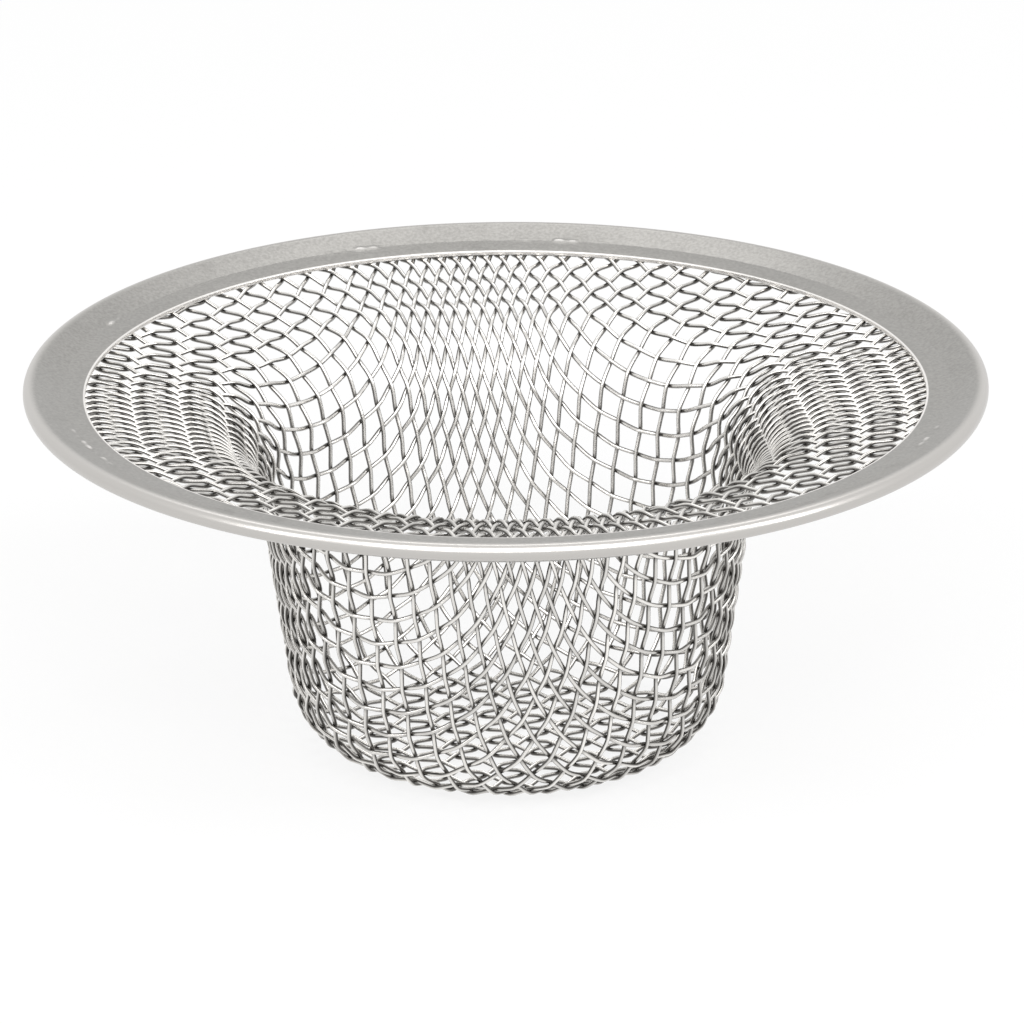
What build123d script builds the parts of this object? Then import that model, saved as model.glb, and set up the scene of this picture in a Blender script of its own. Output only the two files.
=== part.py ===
"""Hair catcher for a bath or shower drain.

A round of woven wire is drawn into a basket with a flat bottom, a tapered wall and a wide flange.
The edge of the flange is gripped in a folded sheet rim.  Millimetres, +Z up, the bottom of the
basket on z = 0.  The weave keeps its true thickness and lay, with wider wires set further apart.
"""

import os
from math import atan2, ceil, cos, hypot, pi, radians, sin, sqrt, tan

from build123d import *

# Overall sizes
rim_diameter = 70.0
overall_height = 28.4

# Folded rim
rim_width = 4.5
grip_width = 1.8
bead_thickness = 1.24
bead_flats = 3
rim_dish = 1.0
sheet = 0.3

# Drawn basket, measured on the middle of the weave
weave_thickness = 0.7
bottom_flat_radius = 10.2
corner_radius = 5.6
wall_taper = 8.0
bend_radius = 7.0
flange_slope = 8.0

# Hold of the mesh in the rim
hem_clearance = 0.05
edge_clearance = 0.15

# Weave
wire_pitch = 7.8
wire_width = 1.25
wire_thickness = 0.39
weave_turn = 45.0
crown_flatness = 2.0
steps_per_gap = 3
fine_steps = 60
end_room = 0.2

# Settling of the net: diagonals are soft, and a wire on a seam is shared by two quarters
shear_stiffness = 0.05
seam_share = 0.5
spare_gaps = 1.5
settle_passes = 400
settle_step = 0.25

# Angles and radii
taper = radians(wall_taper)
slope = radians(flange_slope)
rim_radius = rim_diameter / 2
opening_radius = rim_radius - rim_width
crease_radius = opening_radius + grip_width

# Heights of the rim's leaves
leaf = sheet / cos(slope)
grip = (weave_thickness + 2 * hem_clearance) / cos(slope)
band_fall = grip_width * tan(slope)
top_edge_height = overall_height - rim_dish
top_crease_height = top_edge_height + band_fall
low_crease_height = top_crease_height - 2 * leaf - grip

# Ends of the wires, midway between the leaves
edge_radius = crease_radius - edge_clearance - wire_width / 2
edge_height = top_crease_height - leaf - grip / 2 - (crease_radius - edge_radius) * tan(slope)


def drawn_line():
    """Lengths and curvatures of the basket's line, walked from the axis to the edge of the mesh."""
    wall_heading = pi / 2 - taper
    run = edge_radius - bottom_flat_radius - corner_radius * sin(wall_heading)
    run -= bend_radius * (sin(wall_heading) - sin(slope))
    rise = edge_height - weave_thickness / 2 - corner_radius * (1 - cos(wall_heading))
    rise -= bend_radius * (cos(slope) - cos(wall_heading))
    across = sin(wall_heading - slope)
    wall_length = (rise * cos(slope) - run * sin(slope)) / across
    flange_length = (run * sin(wall_heading) - rise * cos(wall_heading)) / across
    return [
        (bottom_flat_radius, 0.0),
        (corner_radius * wall_heading, 1 / corner_radius),
        (wall_length, 0.0),
        (bend_radius * (wall_heading - slope), -1 / bend_radius),
        (flange_length, 0.0),
    ]


line_pieces = drawn_line()
line_length = sum(length for length, bend in line_pieces)


def on_line(distance):
    """Radius, height and heading at a distance along the basket's line."""
    radius, height, heading = 0.0, weave_thickness / 2, 0.0
    left = distance
    for number, (length, bend) in enumerate(line_pieces):
        last = number == len(line_pieces) - 1
        step = left if last else min(left, length)
        if bend:
            turned = heading + step * bend
            radius += (sin(turned) - sin(heading)) / bend
            height += (cos(heading) - cos(turned)) / bend
            heading = turned
        else:
            radius += step * cos(heading)
            height += step * sin(heading)
        left -= step
        if left <= 0:
            break
    return radius, height, heading


def surface_point(distance, angle):
    """Point on the middle of the weave."""
    radius, height, heading = on_line(distance)
    return radius * cos(angle), radius * sin(angle), height


def outward(distance, angle):
    """Direction from the middle of the weave to the outside of the basket."""
    heading = on_line(distance)[2]
    return Vector(sin(heading) * cos(angle), sin(heading) * sin(angle), -cos(heading))


def ring(outline):
    """Solid of revolution from a closed outline of radius and height pairs."""
    corners = [(radius, 0, height) for radius, height in outline]
    return revolve(make_face(Polyline(*corners, close=True)), Axis.Z)


def net_springs(nodes):
    """Pulls on each crossing: wires that keep their length, and diagonals that weakly resist shear."""
    springs = {node: [] for node in nodes}

    def tie(first, second, rest, stiffness):
        springs[first].append((second, rest, stiffness))
        springs[second].append((first, rest, stiffness))

    for i, j in nodes:
        if (i + 1, j) in springs:
            tie((i, j), (i + 1, j), wire_pitch, seam_share if j == 0 else 1.0)
        if (i, j + 1) in springs:
            tie((i, j), (i, j + 1), wire_pitch, seam_share if i == 0 else 1.0)
        if (i + 1, j + 1) in springs:
            tie((i, j), (i + 1, j + 1), sqrt(2) * wire_pitch, shear_stiffness)
            tie((i + 1, j), (i, j + 1), sqrt(2) * wire_pitch, shear_stiffness)
    return springs


def settled_quarter():
    """Distance and angle of each crossing in one quarter, settled as a drawn mesh settles."""
    count = ceil(line_length / wire_pitch) + 2
    place = {}
    for i in range(count):
        for j in range(count):
            away = wire_pitch * hypot(i, j)
            if away < line_length + spare_gaps * wire_pitch:
                place[i, j] = (away, atan2(j, i))
    springs = net_springs(place)
    points = {node: surface_point(*where) for node, where in place.items()}
    free = [node for node in place if node != (0, 0)]
    for _ in range(settle_passes):
        for node in free:
            distance, angle = place[node]
            radius, height, heading = on_line(distance)
            x, y, z = points[node]
            along = around = 0.0
            for other, rest, stiffness in springs[node]:
                dx, dy, dz = (there - here for here, there in zip((x, y, z), points[other]))
                force = stiffness * (1 - rest / sqrt(dx * dx + dy * dy + dz * dz))
                out = dx * cos(angle) + dy * sin(angle)
                along += force * (out * cos(heading) + dz * sin(heading))
                around += force * (dy * cos(angle) - dx * sin(angle))
            distance += settle_step * along
            if 0 not in node:
                angle += settle_step * around / radius
            place[node] = (distance, angle)
            points[node] = surface_point(distance, angle)
    return place


def whole_net():
    """Crossings of all four quarters in plan coordinates, with distance along the line as radius."""
    net = {(0, 0): (0.0, 0.0)}
    for (i, j), (distance, angle) in settled_quarter().items():
        if i == 0:
            continue
        for quarter in range(4):
            turned = angle + quarter * pi / 2 + radians(weave_turn)
            net[i, j] = (distance * cos(turned), distance * sin(turned))
            i, j = -j, i
    return net


def smooth_path(points):
    """Function from a place along the points to a point in plan, smooth through them all."""
    def path(place):
        start = max(0, min(int(place), len(points) - 2))
        f = place - start
        shares = (-f + 2 * f**2 - f**3, 2 - 5 * f**2 + 3 * f**3, f + 4 * f**2 - 3 * f**3, f**3 - f**2)
        near = [points[max(0, min(start + step, len(points) - 1))] for step in (-1, 0, 1, 2)]
        x = sum(share * point[0] for share, point in zip(shares, near)) / 2
        y = sum(share * point[1] for share, point in zip(shares, near)) / 2
        return hypot(x, y), atan2(y, x)
    return path


def wire(path, stations, side):
    """Flat wire lofted along a path, over one crossing wire and under the next."""
    crimp = (weave_thickness - wire_thickness) / 2
    sections = []
    for station in stations:
        distance, angle = path(station)
        out = outward(distance, angle)
        lift = side * crimp * max(-1, min(1, crown_flatness * cos(pi * station)))
        ahead = Vector(*surface_point(*path(station + 1 / fine_steps)))
        behind = Vector(*surface_point(*path(station - 1 / fine_steps)))
        across = out.cross(ahead - behind).normalized() * (wire_width / 2)
        centre = Vector(*surface_point(distance, angle)) + out * lift
        up = out * (wire_thickness / 2)
        corners = (centre - across - up, centre + across - up, centre + across + up, centre - across + up)
        sections.append(Wire.make_polygon([(corner.X, corner.Y, max(corner.Z, 0)) for corner in corners]))
    return Solid.make_loft(sections, ruled=True)


def wires(net, crosswise):
    """All wires that run one way, each ending between the leaves of the rim."""
    built = []
    reach = max(i for i, j in net)
    for row in range(-reach, reach + 1):
        nodes = [(row, k) if crosswise else (k, row) for k in range(-reach, reach + 1)]
        nodes = [node for node in nodes if node in net]
        if len(nodes) < 3:
            continue
        path = smooth_path([net[node] for node in nodes])
        places = [k / fine_steps for k in range(fine_steps * (len(nodes) - 1) + 1)]
        inside = [place for place in places if path(place)[0] < line_length]
        if not inside or inside[-1] - inside[0] < 1 + 2 * end_room:
            continue
        start, end = inside[0], inside[-1]
        steps = [k / steps_per_gap for k in range(steps_per_gap * len(nodes))]
        stations = [start] + [step for step in steps if start + end_room < step < end - end_room] + [end]
        over_first = (sum(nodes[0]) % 2 == 0) != crosswise
        built.append(wire(path, stations, 1 if over_first else -1))
    return built


def mesh_basket():
    """Both sets of wires, joined where they cross."""
    net = whole_net()
    first, *others = wires(net, False) + wires(net, True)
    return first.fuse(*others)


def rim_ring():
    """Folded rim: a rounded bead outside, and two leaves that close on the edge of the mesh."""
    bead = bead_thickness / 2
    half_flat = pi / 2 / (bead_flats + 1)
    reach = bead / cos(half_flat)
    outline = [(opening_radius, top_edge_height), (crease_radius, top_crease_height)]
    for turn in range(bead_flats, -bead_flats - 1, -2):
        radius = rim_radius - bead + reach * cos(turn * half_flat)
        height = overall_height - bead + reach * sin(turn * half_flat)
        outline.append((radius, height))
    outline += [
        (crease_radius, low_crease_height),
        (opening_radius, low_crease_height - band_fall),
        (opening_radius, low_crease_height - band_fall + leaf),
        (crease_radius, low_crease_height + leaf),
        (crease_radius, top_crease_height - leaf),
        (opening_radius, top_edge_height - leaf),
    ]
    return ring(outline)


os.makedirs("parts", exist_ok=True)
export_step(rim_ring(), "parts/rim_ring.step")
export_step(mesh_basket(), "parts/mesh_basket.step")
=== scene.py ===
"""Hair catcher: a basket of woven steel wire in a folded sheet rim, in a plain white studio.

Sizes are in millimetres in the classes and become metres where meshes are made.
"""

import logging
from dataclasses import dataclass, field
from enum import Enum
from math import atan, ceil, cos, pi, radians, sin, tan

import bpy
import numpy as np
from mathutils import Matrix, Vector


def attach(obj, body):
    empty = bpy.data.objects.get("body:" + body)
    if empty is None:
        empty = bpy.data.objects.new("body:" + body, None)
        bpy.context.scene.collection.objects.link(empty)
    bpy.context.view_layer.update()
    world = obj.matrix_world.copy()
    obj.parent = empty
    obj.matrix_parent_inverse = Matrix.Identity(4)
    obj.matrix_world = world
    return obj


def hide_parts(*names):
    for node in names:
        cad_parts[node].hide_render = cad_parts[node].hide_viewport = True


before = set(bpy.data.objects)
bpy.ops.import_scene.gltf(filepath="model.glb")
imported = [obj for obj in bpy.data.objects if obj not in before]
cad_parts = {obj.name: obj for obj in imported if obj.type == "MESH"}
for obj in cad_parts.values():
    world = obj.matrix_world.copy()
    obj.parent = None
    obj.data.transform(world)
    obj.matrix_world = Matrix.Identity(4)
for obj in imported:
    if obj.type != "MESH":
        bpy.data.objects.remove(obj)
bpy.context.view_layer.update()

log = logging.getLogger("hair_catcher")

MM = 0.001
WHITE = (1.0, 1.0, 1.0, 1.0)
NOISE_SPREAD = (0.3, 0.7)

Colour = tuple[float, float, float]
Span = tuple[float, float]
Crossing = tuple[int, int]
Places = dict[Crossing, tuple[float, float]]


class Way(Enum):
    """The two ways that the wires of the weave run."""

    LENGTHWISE = "lengthwise_wires"
    CROSSWISE = "crosswise_wires"


def node(
    tree: bpy.types.NodeTree, kind: str, inputs: dict | None = None, **settings: object
) -> bpy.types.Node:
    """Adds a node to a tree.

    Args:
        tree: The shader or geometry tree.
        kind: The node's type name.
        inputs: Values or output sockets by input name or number.
        settings: Attributes of the node itself, set before its inputs.

    Returns:
        The new node.
    """
    made = tree.nodes.new(kind)
    for name, value in settings.items():
        setattr(made, name, value)
    for name, value in (inputs or {}).items():
        if isinstance(value, bpy.types.NodeSocket):
            tree.links.new(value, made.inputs[name])
        else:
            made.inputs[name].default_value = value
    return made


def noise(
    tree: bpy.types.NodeTree, place: bpy.types.NodeSocket, scale: float, detail: float
) -> bpy.types.NodeSocket:
    """Adds a noise pattern to a tree.

    Args:
        tree: The shader tree.
        place: The coordinates that it reads.
        scale: How fine it is.
        detail: How many finer patterns lie in it.

    Returns:
        The socket of its values.
    """
    made = node(tree, "ShaderNodeTexNoise", {"Vector": place, "Scale": scale, "Detail": detail})
    return made.outputs["Fac"]


def mapped(
    tree: bpy.types.NodeTree,
    value: bpy.types.NodeSocket,
    source: Span = (0.0, 1.0),
    target: Span = (0.0, 1.0),
    **settings: object,
) -> bpy.types.NodeSocket:
    """Maps one range of values on another and holds them at its ends.

    Args:
        tree: The shader or geometry tree.
        value: The socket of the values.
        source: The range that they come from.
        target: The range that they go to.
        settings: Attributes of the node itself.

    Returns:
        The socket of the mapped values.
    """
    ends = {"From Min": source[0], "From Max": source[1], "To Min": target[0], "To Max": target[1]}
    return node(tree, "ShaderNodeMapRange", {"Value": value, **ends}, **settings).outputs["Result"]


def blended(
    tree: bpy.types.NodeTree,
    share: bpy.types.NodeSocket,
    first: bpy.types.NodeSocket | Colour,
    second: Colour,
) -> bpy.types.NodeSocket:
    """Blends two colours.

    Args:
        tree: The shader tree.
        share: Share of the second colour.
        first: The first colour, or the socket of it.
        second: The second colour.

    Returns:
        The socket of the blend.
    """
    start = first if isinstance(first, bpy.types.NodeSocket) else (*first, 1.0)
    return node(tree, "ShaderNodeMix", {0: share, 6: start, 7: (*second, 1.0)}, data_type="RGBA").outputs[2]


def scaled(
    tree: bpy.types.NodeTree, colour: bpy.types.NodeSocket, level: bpy.types.NodeSocket
) -> bpy.types.NodeSocket:
    """Makes a colour lighter or darker.

    Args:
        tree: The shader tree.
        colour: The socket of the colour.
        level: The socket of the factor.

    Returns:
        The socket of the changed colour.
    """
    return node(tree, "ShaderNodeVectorMath", {0: colour, "Scale": level}, operation="SCALE").outputs[0]


def product(
    tree: bpy.types.NodeTree, first: bpy.types.NodeSocket, second: bpy.types.NodeSocket | float
) -> bpy.types.NodeSocket:
    """Multiplies two values.

    Args:
        tree: The shader or geometry tree.
        first: The socket of the first value.
        second: The second value, or the socket of it.

    Returns:
        The socket of the product.
    """
    return node(tree, "ShaderNodeMath", {0: first, 1: second}, operation="MULTIPLY").outputs[0]


def attribute(tree: bpy.types.NodeTree, name: str) -> bpy.types.NodeSocket:
    """Socket of a mesh attribute's values in a shader tree."""
    return node(tree, "ShaderNodeAttribute", attribute_name=name).outputs["Fac"]


def metal(name: str) -> tuple[bpy.types.Material, bpy.types.NodeTree, bpy.types.Node]:
    """Starts a bare metal.

    Args:
        name: The material's name.

    Returns:
        The material, its tree and its shader.
    """
    made = bpy.data.materials.new(name)
    made.use_nodes = True
    shader = made.node_tree.nodes["Principled BSDF"]
    shader.inputs["Metallic"].default_value = 1.0
    return made, made.node_tree, shader


def dress(
    tree: bpy.types.NodeTree,
    shader: bpy.types.Node,
    colour: bpy.types.NodeSocket,
    roughness: bpy.types.NodeSocket,
    bump: bpy.types.Node,
) -> None:
    """Joins the finished patterns to the shader.

    Args:
        tree: The shader tree.
        shader: Its shader.
        colour: The socket of the colour.
        roughness: The socket of the roughness.
        bump: The bump node.
    """
    tree.links.new(colour, shader.inputs["Base Color"])
    tree.links.new(roughness, shader.inputs["Roughness"])
    tree.links.new(bump.outputs["Normal"], shader.inputs["Normal"])


def seen_rays(tree: bpy.types.NodeTree) -> bpy.types.NodeSocket:
    """Tells the rays by which the surroundings are seen from the rays that light things.

    Args:
        tree: The shader tree to add to.

    Returns:
        A socket that is 1 for what the camera, a reflection or a see-through surface sees.
    """
    path = node(tree, "ShaderNodeLightPath").outputs
    seen = path["Is Camera Ray"]
    for ray in ("Is Glossy Ray", "Is Transmission Ray"):
        seen = node(tree, "ShaderNodeMath", {0: seen, 1: path[ray]}, operation="MAXIMUM").outputs[0]
    return seen


def link_object(name: str, mesh: bpy.types.Mesh) -> bpy.types.Object:
    """Puts a mesh in the scene.

    Args:
        name: The piece's name.
        mesh: Its mesh, in metres and in place.

    Returns:
        The new object, at the origin.
    """
    made = bpy.data.objects.new(name, mesh)
    bpy.context.scene.collection.objects.link(made)
    return made


@dataclass(frozen=True)
class WireFinish:
    """Drawn stainless wire, with a painted highlight on the crowns, painted shade on the flanks and painted
    shade where wires cross.
    """

    name: str = "drawn_wire_steel"
    # Painted highlight colour for the crowns and painted shade colour for the flanks, blended by how far the
    # wire's surface faces away from the mesh.
    crown_highlight_colour: Colour = (0.86, 0.84, 0.808)
    flank_shade_colour: Colour = (0.07, 0.066, 0.060)
    # Painted shade colour and share where wires cross, on the side facing the crossing wire.
    crossing_shade_colour: Colour = (0.04, 0.037, 0.034)
    crossing_shade_share: float = 0.9
    tone_range: Span = (0.82, 1.10)
    roughness_range: Span = (0.13, 0.24)
    stain_scale: float = 160.0
    scratch_scale: float = 9000.0
    scratch_depth: float = 0.000004
    scratch_strength: float = 0.6
    stain_detail: float = 3.0
    scratch_detail: float = 2.0

    def material(self) -> bpy.types.Material:
        """Makes the node material, which reads the weave's own attributes.

        Returns:
            The material.
        """
        made, tree, shader = metal(self.name)
        place = node(tree, "ShaderNodeTexCoord").outputs["Object"]
        stain = noise(tree, place, self.stain_scale, self.stain_detail)
        scratch = noise(tree, place, self.scratch_scale, self.scratch_detail)
        # Painted highlight on the crowns, blended into painted shade on the flanks.
        painted_highlight_and_shade = blended(tree, attribute(tree, "crown"), self.flank_shade_colour, self.crown_highlight_colour)
        bright = scaled(tree, painted_highlight_and_shade, mapped(tree, attribute(tree, "tone"), target=self.tone_range))
        # Painted shade where wires cross.
        share = product(tree, attribute(tree, "crossing_shade"), self.crossing_shade_share)
        colour = blended(tree, share, bright, self.crossing_shade_colour)
        rough = mapped(tree, stain, NOISE_SPREAD, self.roughness_range)
        bump = node(
            tree,
            "ShaderNodeBump",
            {"Height": scratch, "Distance": self.scratch_depth, "Strength": self.scratch_strength},
        )
        dress(tree, shader, colour, rough, bump)
        return made


@dataclass(frozen=True)
class SheetFinish:
    """Pressed stainless sheet: satin with small stains; burnish plus a painted highlight on the bead, a
    painted highlight on its cut edge, and rubbing plus a painted highlight on the press marks.
    """

    name: str = "rolled_rim_steel"
    colour: Colour = (0.325, 0.317, 0.302)
    stain_colour: Colour = (0.21, 0.203, 0.19)
    # Bead colour: burnish, lightened further as a painted highlight.
    bead_burnish_and_highlight_colour: Colour = (0.56, 0.543, 0.52)
    bead_radii: Span = (0.0340, 0.0347)
    bead_roughness: float = 0.3
    # Painted highlight on the inner cut edge and in the slot, inside these radii.
    edge_highlight_colour: Colour = (0.82, 0.80, 0.775)
    edge_highlight_radii: Span = (0.03068, 0.03063)
    # Raised press marks: rubbing, lightened further as a painted highlight.
    mark_wear_and_highlight_colour: Colour = (0.62, 0.604, 0.585)
    mark_range: Span = (0.2, 0.7)
    stain_share: float = 0.55
    stain_scale: float = 420.0
    stain_detail: float = 5.0
    spot_range: Span = (0.56, 0.74)
    cloud_scale: float = 70.0
    cloud_detail: float = 4.0
    patch_range: Span = (0.46, 0.62)
    roughness_range: Span = (0.30, 0.44)
    grain_scale: float = 4200.0
    grain_detail: float = 2.0
    grain_range: Span = (0.88, 1.12)
    ring_scale: float = 5200.0
    ring_detail: float = 2.0
    ring_depth: float = 0.000006
    ring_strength: float = 0.5

    def material(self) -> bpy.types.Material:
        """Makes the node material, with its rings about the rim's axis.

        Returns:
            The material.
        """
        made, tree, shader = metal(self.name)
        place = node(tree, "ShaderNodeTexCoord").outputs["Object"]
        flat = node(tree, "ShaderNodeVectorMath", {0: place, 1: (1.0, 1.0, 0.0)}, operation="MULTIPLY")
        radius = node(tree, "ShaderNodeVectorMath", {0: flat.outputs[0]}, operation="LENGTH").outputs["Value"]
        cloud = noise(tree, place, self.cloud_scale, self.cloud_detail)
        speck = noise(tree, place, self.stain_scale, self.stain_detail)
        grain = noise(tree, place, self.grain_scale, self.grain_detail)
        spots = mapped(tree, speck, self.spot_range, (0.0, self.stain_share))
        stain = product(tree, spots, mapped(tree, cloud, self.patch_range))
        stained = blended(tree, stain, self.colour, self.stain_colour)
        grained = scaled(tree, stained, mapped(tree, grain, NOISE_SPREAD, self.grain_range))
        mark = mapped(tree, attribute(tree, "mark"), self.mark_range)
        bead = mapped(tree, radius, self.bead_radii, interpolation_type="SMOOTHSTEP")
        # Press marks lightened: rubbing plus a painted highlight.
        rubbed_and_highlit = blended(tree, mark, grained, self.mark_wear_and_highlight_colour)
        # Bead lightened: burnish plus a painted highlight.
        burnished_and_highlit = blended(tree, bead, rubbed_and_highlit, self.bead_burnish_and_highlight_colour)
        # Painted highlight on the inner cut edge and in the slot.
        colour = blended(tree, mapped(tree, radius, self.edge_highlight_radii), burnished_and_highlit, self.edge_highlight_colour)
        rough = mapped(tree, cloud, NOISE_SPREAD, self.roughness_range)
        smoother = node(tree, "ShaderNodeMix", {0: bead, 2: rough, 3: self.bead_roughness})
        ring = node(
            tree,
            "ShaderNodeTexNoise",
            {"W": radius, "Scale": self.ring_scale, "Detail": self.ring_detail},
            noise_dimensions="1D",
        )
        bump = node(
            tree,
            "ShaderNodeBump",
            {"Height": ring.outputs["Fac"], "Distance": self.ring_depth, "Strength": self.ring_strength},
        )
        dress(tree, shader, colour, smoother.outputs[0], bump)
        return made


@dataclass(frozen=True)
class FloorFinish:
    """Plain matt white floor that keeps a faint shadow."""

    name: str = "white_floor"
    colour: Colour = (0.93, 0.93, 0.93)
    roughness: float = 0.9
    white_share: float = 0.8

    def material(self) -> bpy.types.Material:
        """Makes the floor's material, part of it plain white where the camera or a reflection sees it.

        Returns:
            The material.
        """
        made = bpy.data.materials.new(self.name)
        made.use_nodes = True
        tree = made.node_tree
        shader = tree.nodes["Principled BSDF"]
        shader.inputs["Base Color"].default_value = (*self.colour, 1.0)
        shader.inputs["Roughness"].default_value = self.roughness
        shader.inputs["Specular IOR Level"].default_value = 0.0
        share = product(tree, seen_rays(tree), self.white_share)
        white = node(tree, "ShaderNodeEmission", {"Color": WHITE, "Strength": 1.0})
        mixed = node(
            tree,
            "ShaderNodeMixShader",
            {0: share, 1: shader.outputs["BSDF"], 2: white.outputs["Emission"]},
        )
        tree.links.new(mixed.outputs[0], tree.nodes["Material Output"].inputs["Surface"])
        return made


@dataclass(frozen=True)
class DrawnLine:
    """Line of the basket's wall from the axis out to the edge of the mesh, on the middle of the weave."""

    bottom_flat_radius: float = 10.2
    corner_radius: float = 5.6
    wall_taper: float = 8.0
    wall_length: float = 14.761
    bend_radius: float = 7.0
    flange_slope: float = 9.2
    flange_length: float = 7.844
    bottom_height: float = 0.32

    def pieces(self) -> np.ndarray:
        """Lists the pieces of the line, walked from the axis.

        Returns:
            Length and curvature of each.
        """
        wall = radians(90.0 - self.wall_taper)
        slope = radians(self.flange_slope)
        return np.array([
            (self.bottom_flat_radius, 0.0),
            (self.corner_radius * wall, 1.0 / self.corner_radius),
            (self.wall_length, 0.0),
            (self.bend_radius * (wall - slope), -1.0 / self.bend_radius),
            (self.flange_length, 0.0),
        ])

    def length(self) -> float:
        """Length of the whole line."""
        return float(self.pieces()[:, 0].sum())

    def at(self, distance: np.ndarray) -> tuple[np.ndarray, np.ndarray, np.ndarray]:
        """Walks the line.

        Args:
            distance: Distances from the axis along the line.

        Returns:
            Radius, height and heading at each distance; the flange runs on without end.
        """
        radius, height = np.zeros_like(distance), np.full_like(distance, self.bottom_height)
        heading, left = np.zeros_like(distance), distance
        pieces = self.pieces()
        for number, (length, bend) in enumerate(pieces):
            step = left if number == len(pieces) - 1 else np.minimum(left, length)
            turned = heading + step * bend
            if bend:
                radius = radius + (np.sin(turned) - np.sin(heading)) / bend
                height = height + (np.cos(heading) - np.cos(turned)) / bend
            else:
                radius = radius + step * np.cos(heading)
                height = height + step * np.sin(heading)
            heading, left = turned, left - step
        return radius, height, heading

    def points(self, distance: np.ndarray, angle: np.ndarray) -> np.ndarray:
        """Points on the middle of the weave.

        Args:
            distance: Distances along the line.
            angle: Angles about the axis.

        Returns:
            One row of x, y and z for each.
        """
        radius, height, _ = self.at(distance)
        return np.stack([radius * np.cos(angle), radius * np.sin(angle), height], axis=-1)

    def outward(self, distance: np.ndarray, angle: np.ndarray) -> np.ndarray:
        """Directions from the middle of the weave to the outside of the basket.

        Args:
            distance: Distances along the line.
            angle: Angles about the axis.

        Returns:
            One unit vector for each.
        """
        heading = self.at(distance)[2]
        return np.stack(
            [np.sin(heading) * np.cos(angle), np.sin(heading) * np.sin(angle), -np.cos(heading)], axis=-1
        )


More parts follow.
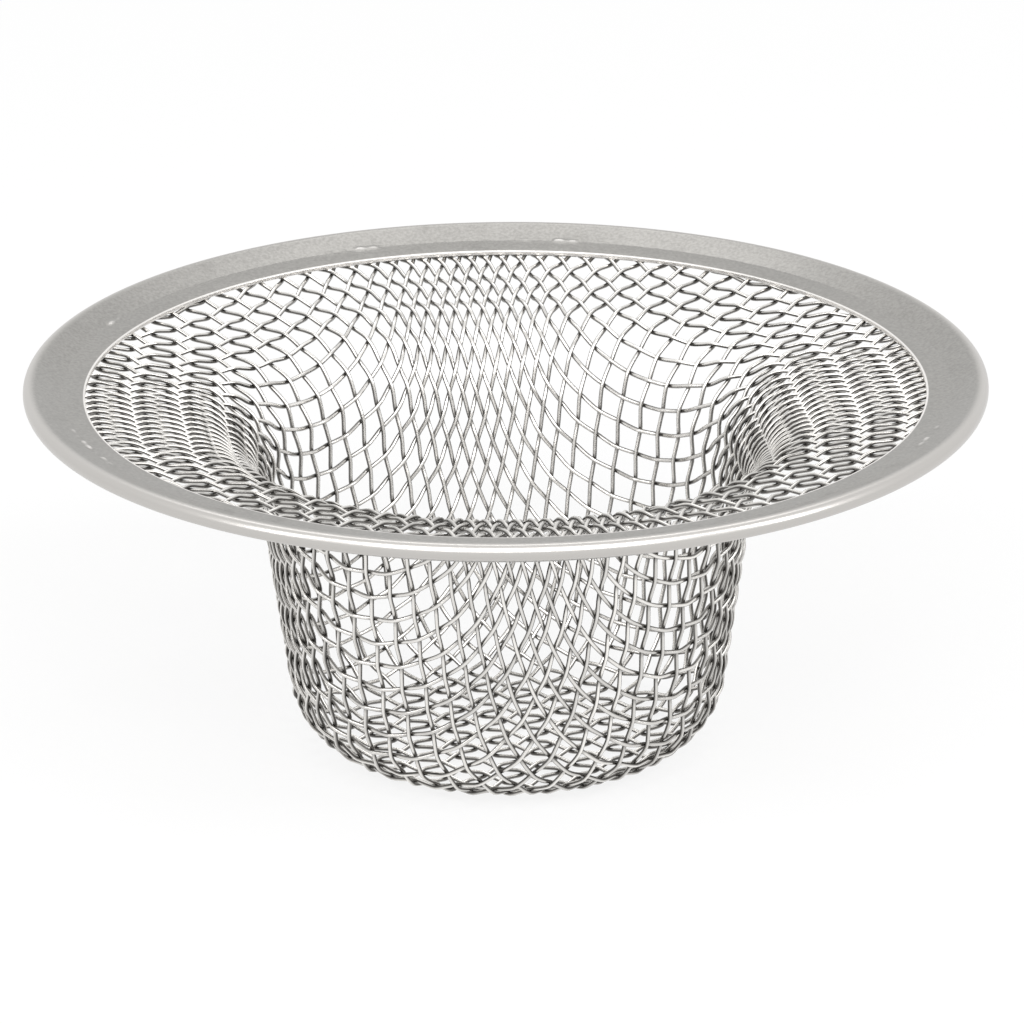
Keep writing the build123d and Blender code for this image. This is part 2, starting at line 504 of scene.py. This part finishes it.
@dataclass
class WovenNet:
    """Crossings of the weave, laid on the drawn line with wires of fixed length and then settled."""

    line: DrawnLine
    pitch: float = 1.9
    front: float = -90.0
    front_opening: float = 94.0
    shear_stiffness: float = 0.02
    bend_stiffness: float = 0.15
    bend_shares: tuple[float, float, float] = (-0.5, 1.0, -0.5)
    lock_gaps: float = 0.6
    lock_stiffness: float = 0.3
    edge_gaps: float = 0.8
    nearest_gaps: float = 0.2
    meeting_steps: int = 40
    longest_move: Span = (0.5, 0.1)
    closeness: float = 1e-9
    passes: int = 140
    step: float = 0.2
    carry: float = 0.9

    def meeting(self, ends: np.ndarray, start: tuple[float, float]) -> tuple[float, float] | None:
        """Finds the place on the line that is one gap from two crossings.

        Args:
            ends: Points of the two crossings.
            start: Distance along the line and angle to start from.

        Returns:
            Distance and angle, or None where the search fails.
        """
        distance, angle = start
        for _ in range(self.meeting_steps):
            radius, height, heading = (float(value[0]) for value in self.line.at(np.array([distance])))
            c, s = cos(angle), sin(angle)
            off = np.array([radius * c, radius * s, height]) - ends
            miss = (off**2).sum(axis=1) - self.pitch**2
            if np.abs(miss).max() < self.closeness:
                return distance, angle
            along = (cos(heading) * c, cos(heading) * s, sin(heading))
            moves = np.array([along, (-radius * s, radius * c, 0.0)])
            slopes = 2 * off @ moves.T
            if abs(np.linalg.det(slopes)) < self.closeness:
                return None
            change = np.linalg.solve(slopes, -miss)
            change /= max(1.0, *(np.abs(change) / self.longest_move))
            distance, angle = distance + change[0], angle + change[1]
        return None

    def laid(self, opening: float) -> Places:
        """Lays one quarter of a net that can't stretch.

        Args:
            opening: Angle at the axis between the two wires that bound the quarter.

        Returns:
            Distance along the line and angle of each crossing.
        """
        limit = self.line.length() + self.edge_gaps * self.pitch
        count = ceil(limit / self.pitch) + 1
        place = {(0, i): (i * self.pitch, opening) for i in range(count)}
        place |= {(i, 0): (i * self.pitch, 0.0) for i in range(count)}
        for total in range(2, 2 * count - 1):
            for i in range(max(1, total - count + 1), min(total, count)):
                j = total - i
                near = [place.get(where) for where in ((i - 1, j), (i, j - 1), (i - 1, j - 1))]
                if None in near or min(near[0][0], near[1][0]) > limit:
                    continue
                distance, angle = np.array(near).T
                points = self.line.points(distance, angle)
                across = points[0] + points[1] - points[2]
                found = []
                for start in (
                    (distance[0] + distance[1] - distance[2], np.arctan2(across[1], across[0])),
                    (distance[:2].max() + self.nearest_gaps * self.pitch, angle[:2].mean()),
                ):
                    met = self.meeting(points[:2], start)
                    if met is not None:
                        point = self.line.points(np.array(met[:1]), np.array(met[1:]))[0]
                        found.append((float(np.linalg.norm(point - points[2])), met))
                found = [(far, met) for far, met in found if far > self.nearest_gaps * self.pitch]
                if found:
                    place[i, j] = max(found)[1]
        return place

    def whole_lay(self) -> Places:
        """Lays the whole unstretched net, quarter by quarter.

        Returns:
            Distance along the line and angle of each crossing.
        """
        front, side = radians(self.front_opening), radians(180.0 - self.front_opening)
        place = {(0, 0): (0.0, 0.0)}
        start = radians(self.front) - front / 2
        for quarter, opening in enumerate((front, side, front, side)):
            for (i, j), (distance, angle) in self.laid(opening).items():
                if i == 0:
                    continue
                for _ in range(quarter):
                    i, j = -j, i
                place[i, j] = (distance, start + angle)
            start += opening
        return place

    def springs(self, nodes: list[Crossing]) -> tuple[np.ndarray, np.ndarray, np.ndarray]:
        """Lists the pulls between crossings.

        Args:
            nodes: Crossings, by row and column.

        Returns:
            Pairs of node numbers, rest lengths and stiffnesses.
        """
        number = {where: n for n, where in enumerate(nodes)}
        half = radians(self.front_opening) / 2
        rows = []
        for i, j in nodes:
            for near in ((i + 1, j), (i, j + 1)):
                if near in number:
                    rows.append((number[i, j], number[near], self.pitch, 1.0))
            cell = ((i, j), (i + 1, j + 1), (i + 1, j), (i, j + 1))
            if all(corner in number for corner in cell):
                for (a, b), share in ((cell[:2], cos(half)), (cell[2:], sin(half))):
                    rows.append((number[a], number[b], 2 * share * self.pitch, self.shear_stiffness))
        table = np.array(rows)
        return table[:, :2].astype(int), table[:, 2], table[:, 3]

    def straights(self, nodes: list[Crossing]) -> np.ndarray:
        """Lists the crossings that follow each other on a wire, which stays as straight as it can.

        Args:
            nodes: Crossings, by row and column.

        Returns:
            Rows of three node numbers.
        """
        number = {where: n for n, where in enumerate(nodes)}
        rows = []
        for i, j in nodes:
            for run in (((i - 1, j), (i, j), (i + 1, j)), ((i, j - 1), (i, j), (i, j + 1))):
                if all(where in number for where in run):
                    rows.append([number[where] for where in run])
        return np.array(rows)

    def whole(self) -> Places:
        """Lets the whole net settle.

        Returns:
            The crossings in flat plan, with the distance along the line as radius.
        """
        place = self.whole_lay()
        nodes = list(place)
        distance, angle = np.array(list(place.values())).T
        pairs, rest, stiffness = self.springs(nodes)
        runs = self.straights(nodes)
        centre = nodes.index((0, 0))
        speed = np.zeros((2, len(nodes)))
        for _ in range(self.passes):
            radius, height, heading = self.line.at(distance)
            c, s = np.cos(angle), np.sin(angle)
            points = np.stack([radius * c, radius * s, height], axis=-1)
            pull = points[pairs[:, 1]] - points[pairs[:, 0]]
            length = np.linalg.norm(pull, axis=1)
            share = stiffness * (1.0 - rest / length)
            share += self.lock_stiffness * np.minimum(1.0 - self.lock_gaps * self.pitch / length, 0.0)
            pull *= share[:, None]
            force = np.zeros_like(points)
            np.add.at(force, pairs[:, 0], pull)
            np.add.at(force, pairs[:, 1], -pull)
            bow = self.bend_stiffness * (points[runs[:, 0]] + points[runs[:, 2]] - 2 * points[runs[:, 1]])
            for column, share in enumerate(self.bend_shares):
                np.add.at(force, runs[:, column], share * bow)
            along = (force[:, 0] * c + force[:, 1] * s) * np.cos(heading) + force[:, 2] * np.sin(heading)
            around = force[:, 1] * c - force[:, 0] * s
            speed = self.carry * speed + self.step * np.stack([along, around])
            speed[:, centre] = 0.0
            distance = distance + speed[0]
            angle = angle + speed[1] / np.maximum(radius, self.pitch)
        places = zip(nodes, distance.tolist(), angle.tolist())
        return {where: (d * cos(a), d * sin(a)) for where, d, a in places}


@dataclass
class MeshBasket:
    """The basket of plain-woven wire, one piece for the wires of each way."""

    line: DrawnLine = field(default_factory=DrawnLine)
    finish: WireFinish = field(default_factory=WireFinish)
    wire_diameter: float = 0.31
    crown_flatness: Span = (0.5, -0.35)
    lean_range: Span = (0.57, 1.0)
    steps_per_gap: int = 6
    wire_sides: int = 8
    edge_spare: float = 0.5
    shortest_gaps: float = 1.5
    fewest_crossings: int = 3
    # How tightly the painted shade gathers at crossings, and on which side of the wire it lies.
    crossing_shade_power: float = 6.0
    crossing_shade_range: Span = (0.3, -0.6)
    # How the painted highlight on the crowns spreads across the wire.
    crown_highlight_range: Span = (0.36, 0.86)
    tone_seed: int = 7

    def __post_init__(self) -> None:
        """Settles the net once for both ways."""
        self.net = WovenNet(self.line).whole()
        self.reach = max(i for i, _ in self.net)
        self.tree = self.wire_tree()
        self.steel = self.finish.material()

    def smooth(self, points: np.ndarray, place: np.ndarray) -> np.ndarray:
        """Runs a smooth path through points in plan.

        Args:
            points: The crossings that the path goes through.
            place: Places along it, counted in gaps.

        Returns:
            Points in plan.
        """
        start = np.clip(place.astype(int), 0, len(points) - 2)
        f = (place - start)[:, None]
        near = [points[np.clip(start + step, 0, len(points) - 1)] for step in (-1, 0, 1, 2)]
        shares = (-f + 2 * f**2 - f**3, 2 - 5 * f**2 + 3 * f**3, f + 4 * f**2 - 3 * f**3, f**3 - f**2)
        return sum(share * point for share, point in zip(shares, near)) / 2

    def flatness(self, crossings: list[Crossing], way: Way) -> np.ndarray:
        """Finds how flat a wire's crown is at each crossing.

        It is pointed where the wires cross squarely, and flat where they lean together.

        Args:
            crossings: The crossings along the wire.
            way: The way it runs.

        Returns:
            One flatness for each crossing.
        """
        across = (1, 0) if way is Way.CROSSWISE else (0, 1)
        last = len(crossings) - 1
        leans = []
        for place, (i, k) in enumerate(crossings):
            along = crossings[max(place - 1, 0)], crossings[min(place + 1, last)]
            beside = [(i + side * across[0], k + side * across[1]) for side in (-1, 1)]
            beside = [where if where in self.net else (i, k) for where in beside]
            plan = np.array([self.net[where] for where in (*along, *beside)])
            ends = self.line.points(np.hypot(*plan.T), np.arctan2(plan[:, 1], plan[:, 0]))
            own, other = ends[1] - ends[0], ends[3] - ends[2]
            size = np.linalg.norm(own) * np.linalg.norm(other)
            leans.append(np.linalg.norm(np.cross(own, other)) / size)
        return np.interp(leans, self.lean_range, self.crown_flatness)

    def centreline(self, row: int, way: Way) -> tuple[np.ndarray, np.ndarray, np.ndarray] | None:
        """Lays one wire over one crossing wire and under the next.

        Args:
            row: The wire's number from the middle.
            way: The way it runs.

        Returns:
            Its points, how near each is to a crossing, and the direction away from the crossing wire,
            or None where the rim leaves no wire.
        """
        span = range(-self.reach, self.reach + 1)
        crossings = [(row, k) if way is Way.CROSSWISE else (k, row) for k in span]
        crossings = [where for where in crossings if where in self.net]
        if len(crossings) < self.fewest_crossings:
            return None
        plan = np.array([self.net[where] for where in crossings])
        place = np.arange(self.steps_per_gap * (len(crossings) - 1) + 1) / self.steps_per_gap
        path = self.smooth(plan, place)
        distance, angle = np.hypot(path[:, 0], path[:, 1]), np.arctan2(path[:, 1], path[:, 0])
        inside = distance < self.line.length() + self.edge_spare
        if inside.sum() < self.shortest_gaps * self.steps_per_gap:
            return None
        distance, angle, place = distance[inside], angle[inside], place[inside]
        over_first = (sum(crossings[0]) % 2 == 0) != (way is Way.CROSSWISE)
        wave = np.cos(pi * place) * (1.0 if over_first else -1.0)
        flatness = np.interp(place, np.arange(len(crossings)), self.flatness(crossings, way))
        crown = wave * (1.0 + flatness * (1.0 - wave**2))
        outward = self.line.outward(distance, angle)
        points = self.line.points(distance, angle) + outward * (crown * self.wire_diameter / 2)[:, None]
        return points, np.abs(wave) ** self.crossing_shade_power, outward * np.sign(wave)[:, None]

    def wire_tree(self) -> bpy.types.NodeTree:
        """Builds the node tree that turns centrelines into wires and stores the shares of painted shade at
        crossings and of painted highlight on the crowns.

        Returns:
            The tree, with its sizes as named inputs.
        """
        tree = bpy.data.node_groups.new("woven_wires", "GeometryNodeTree")
        tree.is_modifier = True
        for name, kind in (
            ("Centrelines", "NodeSocketGeometry"),
            ("Wire Radius", "NodeSocketFloat"),
            ("Wire Sides", "NodeSocketInt"),
            ("Finish", "NodeSocketMaterial"),
        ):
            tree.interface.new_socket(name, in_out="INPUT", socket_type=kind)
        tree.interface.new_socket("Wires", in_out="OUTPUT", socket_type="NodeSocketGeometry")
        sizes = node(tree, "NodeGroupInput").outputs
        curve = node(tree, "GeometryNodeMeshToCurve", {"Mesh": sizes["Centrelines"]})
        circle = node(
            tree,
            "GeometryNodeCurvePrimitiveCircle",
            {"Resolution": sizes["Wire Sides"], "Radius": sizes["Wire Radius"]},
        )
        wires = node(
            tree,
            "GeometryNodeCurveToMesh",
            {"Curve": curve.outputs["Curve"], "Profile Curve": circle.outputs["Curve"], "Fill Caps": True},
        )
        away = node(tree, "GeometryNodeInputNamedAttribute", {"Name": "away"}, data_type="FLOAT_VECTOR")
        knot = node(tree, "GeometryNodeInputNamedAttribute", {"Name": "knot"}, data_type="FLOAT")
        normal = node(tree, "GeometryNodeInputNormal")
        facing = node(
            tree,
            "ShaderNodeVectorMath",
            {0: normal.outputs["Normal"], 1: away.outputs["Attribute"]},
            operation="DOT_PRODUCT",
        )
        # Painted shade on the side of the wire that faces the crossing wire.
        inner = mapped(tree, facing.outputs["Value"], self.crossing_shade_range)
        height = node(tree, "ShaderNodeMath", {0: facing.outputs["Value"]}, operation="ABSOLUTE")
        marked = wires.outputs["Mesh"]
        # Stores the share of painted shade at crossings and of painted highlight on the crowns.
        for name, value in (
            ("crossing_shade", product(tree, inner, knot.outputs["Attribute"])),
            ("crown", mapped(tree, height.outputs[0], self.crown_highlight_range)),
        ):
            marked = node(
                tree,
                "GeometryNodeStoreNamedAttribute",
                {"Geometry": marked, "Name": name, "Value": value},
                data_type="FLOAT",
                domain="POINT",
            ).outputs["Geometry"]
        smooth = node(tree, "GeometryNodeSetShadeSmooth", {"Geometry": marked})
        real = node(tree, "GeometryNodeRealizeInstances", {"Geometry": smooth.outputs["Geometry"]})
        steel = node(
            tree,
            "GeometryNodeSetMaterial",
            {"Geometry": real.outputs["Geometry"], "Material": sizes["Finish"]},
        )
        node(tree, "NodeGroupOutput", {"Wires": steel.outputs["Geometry"]})
        return tree

    def centrelines(self, way: Way) -> bpy.types.Mesh:
        """Makes the centrelines of all wires that run one way.

        Args:
            way: The way they run.

        Returns:
            A mesh of edges, with each wire's tone and what is needed to place the painted shade at its
            crossings.
        """
        laid = [self.centreline(row, way) for row in range(-self.reach, self.reach + 1)]
        laid = [wire for wire in laid if wire is not None]
        tones = np.random.default_rng([self.tone_seed, list(Way).index(way)]).random(len(laid))
        edges, start = [], 0
        for points, _, _ in laid:
            edges += [(n, n + 1) for n in range(start, start + len(points) - 1)]
            start += len(points)
        points, knots, away = (np.concatenate(column) for column in zip(*laid))
        tone = np.repeat(tones, [len(wire[0]) for wire in laid])
        mesh = bpy.data.meshes.new(way.value)
        mesh.from_pydata(points * MM, edges, [])
        mesh.attributes.new("knot", "FLOAT", "POINT").data.foreach_set("value", knots)
        mesh.attributes.new("tone", "FLOAT", "POINT").data.foreach_set("value", tone)
        mesh.attributes.new("away", "FLOAT_VECTOR", "POINT").data.foreach_set("vector", away.ravel())
        log.info("%s: %d wires", way.value, len(laid))
        return mesh

    def wires(self, way: Way) -> bpy.types.Object:
        """Makes all wires that run one way.

        Args:
            way: The way they run.

        Returns:
            One plain mesh object in place.
        """
        piece = link_object(way.value, self.centrelines(way))
        modifier = piece.modifiers.new("wires", "NODES")
        modifier.node_group = self.tree
        values = {
            "Wire Radius": self.wire_diameter / 2 * MM,
            "Wire Sides": self.wire_sides,
            "Finish": self.steel,
        }
        for socket in self.tree.interface.items_tree:
            if socket.name in values:
                modifier[socket.identifier] = values[socket.name]
        graph = bpy.context.evaluated_depsgraph_get()
        solid = bpy.data.meshes.new_from_object(
            piece.evaluated_get(graph), preserve_all_data_layers=True, depsgraph=graph
        )
        piece.modifiers.clear()
        piece.data = solid
        for name in ("knot", "away"):
            solid.attributes.remove(solid.attributes[name])
        return piece

    def build(self) -> None:
        """Makes both ways of wire and lets them stand for the basket."""
        for way in Way:
            piece = self.wires(way)
            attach(piece, "root")
            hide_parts("mesh_basket")
            log.info("%s: %d faces", way.value, len(piece.data.polygons))


@dataclass(frozen=True)
class PressMarks:
    """A run of small marks along the crease, where wire ends show through the sheet."""

    angle: float
    spread: float
    height: float


@dataclass
class FoldedRim:
    """The rim: one strip of sheet folded to a round bead outside and two leaves that grip the mesh."""

    finish: SheetFinish = field(default_factory=SheetFinish)
    rim_radius: float = 35.0
    rim_top: float = 28.4
    rim_width: float = 4.5
    grip_width: float = 1.8
    bead_radius: float = 0.62
    rim_dish: float = 1.0
    flange_slope: float = 8.0
    sheet: float = 0.3
    mesh_room: float = 0.8
    slot_depth: float = 0.12
    lower_short: float = 2.0
    crease_round: float = 0.25
    edge_round: float = 0.05
    slot_round: float = 0.02
    arc_steps: int = 6
    bead_steps: int = 28
    turns: int = 900
    mark_gaps: Span = (3.4, 1.25)
    mark_lead: float = 0.9
    mark_fullness: float = 2.5
    mark_reach: float = 0.2
    mark_steps: tuple[float, ...] = (0.06, 0.12, 0.19, 0.28, 0.4)
    marks: tuple[PressMarks, ...] = (
        PressMarks(angle=75.8, spread=4.5, height=0.15),
        PressMarks(angle=103.0, spread=4.0, height=0.15),
        PressMarks(angle=147.7, spread=3.0, height=0.12),
        PressMarks(angle=196.5, spread=8.0, height=0.18),
        PressMarks(angle=331.0, spread=6.0, height=0.15),
    )

    @staticmethod
    def rounded(
        corner: np.ndarray, before: np.ndarray, after: np.ndarray, radius: float, steps: int
    ) -> list[np.ndarray]:
        """Rounds one corner of an outline.

        Args:
            corner: The corner.
            before: The point before it.
            after: The point after it.
            radius: Radius of the round.
            steps: Number of short flats in it.

        Returns:
            The points of the round.
        """
        back = (before - corner) / np.linalg.norm(before - corner)
        on = (after - corner) / np.linalg.norm(after - corner)
        half = np.arccos(np.clip(back @ on, -1.0, 1.0)) / 2
        middle = (back + on) / np.linalg.norm(back + on)
        centre = corner + middle * radius / np.sin(half)
        first = corner + back * radius / np.tan(half) - centre
        last = corner + on * radius / np.tan(half) - centre
        sweep = pi - 2 * half
        shares = np.linspace(0.0, 1.0, steps + 1)
        return [
            centre + (np.sin((1 - share) * sweep) * first + np.sin(share * sweep) * last) / np.sin(sweep)
            for share in shares
        ]

    def section(self) -> np.ndarray:
        """Draws the closed outline of the rim's section.

        Returns:
            Rows of radius and height.
        """
        slope = radians(self.flange_slope)
        opening = self.rim_radius - self.rim_width
        crease = opening + self.grip_width
        fall, rise = self.grip_width * tan(slope), self.slot_depth * tan(slope)
        leaf = self.sheet / cos(slope)
        top = self.rim_top - self.rim_dish
        low = top - 2 * leaf - self.mesh_room / cos(slope)
        bead = np.array([self.rim_radius - self.bead_radius, self.rim_top - self.bead_radius])
        top_crease = np.array([crease, top + fall])
        low_crease = np.array([crease, low + fall])
        ends = []
        for point, side in ((top_crease, -1.0), (low_crease, 1.0)):
            out = point - bead
            ends.append(np.arctan2(out[1], out[0]) + side * np.arccos(self.bead_radius / np.linalg.norm(out)))
        if ends[1] > ends[0]:
            ends[1] -= 2 * pi
        arc = np.linspace(ends[0], ends[1], self.bead_steps + 1)
        round_bead = [bead + self.bead_radius * np.array([cos(a), sin(a)]) for a in arc]
        low_run = round_bead[-1] - low_crease
        low_end = low_crease + low_run * (self.lower_short - self.grip_width) / low_run[0]
        corners = [
            (np.array([opening, top]), self.edge_round),
            (top_crease, self.crease_round),
            (low_end, self.edge_round),
            (low_end + np.array([0.0, leaf]), self.edge_round),
            (np.array([opening + self.slot_depth, top + rise - leaf]), self.slot_round),
            (np.array([opening, top - leaf]), self.edge_round),
        ]
        points = []
        for number, (corner, radius) in enumerate(corners):
            before = corners[number - 1][0]
            after = corners[(number + 1) % len(corners)][0]
            if number == 1:
                after = round_bead[0]
            if number == 2:
                points += round_bead
                before = round_bead[-1]
            arc = self.rounded(corner, before, after, radius, self.arc_steps)
            if number == 1:
                inner = [arc[0] + step * (before - arc[0]) for step in self.mark_steps]
                outer = [arc[-1] + step * (after - arc[-1]) for step in self.mark_steps]
                arc = [*inner[::-1], *arc, *outer]
            points += arc
        return np.array(points)

    def pressed(self, radius: np.ndarray, angle: np.ndarray) -> np.ndarray:
        """Height of the press marks on the upper leaf.

        Args:
            radius: Radii of points on the upper leaf.
            angle: Their angles about the axis.

        Returns:
            How far each stands up.
        """
        crease = self.rim_radius - self.rim_width + self.grip_width
        total = np.zeros(np.broadcast(radius, angle).shape)
        for run in self.marks:
            off = (angle - radians(run.angle) + pi) % (2 * pi) - pi
            long, short = (2 * pi * off * crease / gap for gap in self.mark_gaps)
            ripple = 1.0 + np.cos(long + self.mark_lead) + np.cos(short)
            ripple = np.clip(ripple / self.mark_fullness, 0.0, 1.0)
            fade = np.exp(-((off / radians(run.spread)) ** 2))
            total += run.height * ripple * fade
        return total * np.exp(-(((radius - crease) / self.mark_reach) ** 2))

    def mesh(self) -> bpy.types.Mesh:
        """Turns the section about the axis and presses the marks.

        Returns:
            The rim's mesh, with the height of its marks as an attribute.
        """
        section = self.section()
        angle = np.arange(self.turns) * 2 * pi / self.turns
        radius, height = (np.repeat(section[:, column, None], self.turns, 1) for column in (0, 1))
        middle = self.rim_top - self.rim_dish - self.sheet / 2
        upper = (section[:, 1] > middle) & (section[:, 0] < self.rim_radius - 2 * self.bead_radius)
        marks = np.zeros(height.shape)
        marks[upper] = self.pressed(radius[upper], angle[None, :])
        height = height + marks
        points = np.stack([radius * np.cos(angle), radius * np.sin(angle), height], axis=-1).reshape(-1, 3)
        number = np.arange(len(points)).reshape(len(section), self.turns)
        below = np.roll(number, -1, axis=0)
        beside, across = np.roll(number, -1, axis=1), np.roll(below, -1, axis=1)
        faces = np.stack([number, below, across, beside], axis=-1).reshape(-1, 4)
        made = bpy.data.meshes.new("folded_rim")
        made.from_pydata(points * MM, [], faces.tolist())
        made.polygons.foreach_set("use_smooth", np.ones(len(faces), bool))
        mark = made.attributes.new("mark", "FLOAT", "POINT")
        mark.data.foreach_set("value", (marks / marks.max()).ravel())
        return made

    def build(self) -> None:
        """Makes the rim, dresses it and lets it stand for the solid rim."""
        mesh = self.mesh()
        mesh.materials.append(self.finish.material())
        mesh.update()
        piece = link_object("folded_rim", mesh)
        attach(piece, "root")
        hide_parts("rim_ring")
        log.info("folded_rim: %d faces", len(mesh.polygons))


@dataclass(frozen=True)
class Lamp:
    """One soft box: where it stands, how large it is and how bright its face is."""

    name: str
    place: tuple[float, float, float]
    size: tuple[float, float]
    brightness: float


@dataclass
class Studio:
    """White floor, white surroundings, soft boxes above and the camera."""

    floor_size: float = 8.0
    floor_finish: FloorFinish = field(default_factory=FloorFinish)
    world_light: float = 0.45
    picture_size: float = 1024.0
    sensor: float = 36.0
    clip: Span = (0.01, 20.0)
    focal_pixels: float = 8271.0
    camera_distance: float = 600.0
    camera_height_angle: float = 19.77
    camera_turn: float = -97.0
    camera_roll: float = -0.355
    rim_centre_pixel: Span = (505.7, 374.5)
    rim_top: float = 28.4
    lamps: tuple[Lamp, ...] = (
        Lamp("front_soft_box", (-0.03, -0.50, 0.55), (0.80, 0.50), 4.0),
        Lamp("back_soft_box", (0.05, 0.42, 0.68), (0.60, 0.20), 1.8),
        Lamp("left_strip", (-0.62, -0.30, 0.52), (0.12, 0.45), 5.5),
        Lamp("right_strip", (0.62, -0.30, 0.48), (0.14, 0.45), 6.5),
    )

    def floor(self) -> None:
        """Lays the floor that the basket stands on."""
        half = self.floor_size / 2
        mesh = bpy.data.meshes.new("floor")
        corners = [(-half, -half, 0), (half, -half, 0), (half, half, 0), (-half, half, 0)]
        mesh.from_pydata(corners, [], [(0, 1, 2, 3)])
        mesh.materials.append(self.floor_finish.material())
        link_object("floor", mesh)

    def world(self) -> None:
        """Makes the surroundings, white where the camera or a reflection sees them."""
        world = bpy.data.worlds.new("white_studio")
        bpy.context.scene.world = world
        world.use_nodes = True
        tree = world.node_tree
        tree.nodes.clear()
        light, white = (
            node(tree, "ShaderNodeBackground", {"Color": WHITE, "Strength": strength}).outputs[0]
            for strength in (self.world_light, 1.0)
        )
        mixed = node(tree, "ShaderNodeMixShader", {0: seen_rays(tree), 1: light, 2: white})
        node(tree, "ShaderNodeOutputWorld", {"Surface": mixed.outputs[0]})

    def light(self) -> None:
        """Hangs the soft boxes, each turned to the object."""
        for lamp in self.lamps:
            data = bpy.data.lights.new(lamp.name, "AREA")
            data.shape = "RECTANGLE"
            data.size, data.size_y = lamp.size
            data.energy = lamp.brightness * pi * lamp.size[0] * lamp.size[1]
            made = bpy.data.objects.new(lamp.name, data)
            made.location = lamp.place
            aim = Vector((0.0, 0.0, self.rim_top * MM / 2)) - Vector(lamp.place)
            made.rotation_euler = aim.to_track_quat("-Z", "Y").to_euler()
            made.visible_camera = False
            bpy.context.scene.collection.objects.link(made)

    def camera(self) -> None:
        """Sets the camera so that the rim's centre falls on its place in the picture."""
        data = bpy.data.cameras.new("camera")
        data.sensor_width = self.sensor
        data.lens = self.focal_pixels / self.picture_size * self.sensor
        data.clip_start, data.clip_end = self.clip
        made = bpy.data.objects.new("camera", data)
        tilt, turn = radians(self.camera_height_angle), radians(self.camera_turn)
        back = Vector((cos(tilt) * cos(turn), cos(tilt) * sin(turn), sin(tilt)))
        right = Vector((-sin(turn), cos(turn), 0.0))
        up = back.cross(right)
        facing = Matrix((right, up, back)).transposed()
        across = self.rim_centre_pixel[0] - self.picture_size / 2
        down = self.rim_centre_pixel[1] - self.picture_size / 2
        facing = facing @ Matrix.Rotation(radians(self.camera_roll), 3, "Z")
        facing = facing @ Matrix.Rotation(atan(down / self.focal_pixels), 3, "X")
        facing = facing @ Matrix.Rotation(atan(across / self.focal_pixels), 3, "Y")
        centre = Vector((0.0, 0.0, self.rim_top * MM))
        made.matrix_world = Matrix.Translation(centre + back * self.camera_distance * MM) @ facing.to_4x4()
        bpy.context.scene.collection.objects.link(made)
        bpy.context.scene.camera = made

    def build(self) -> None:
        """Makes the whole studio."""
        bpy.context.scene.view_settings.view_transform = "Standard"
        self.floor()
        self.world()
        self.light()
        self.camera()


def main() -> None:
    """Builds the rim, the basket and the studio, in that order."""
    logging.basicConfig(level=logging.INFO, format="%(name)s: %(message)s")
    FoldedRim().build()
    MeshBasket().build()
    Studio().build()


if __name__ == "__main__":
    main()
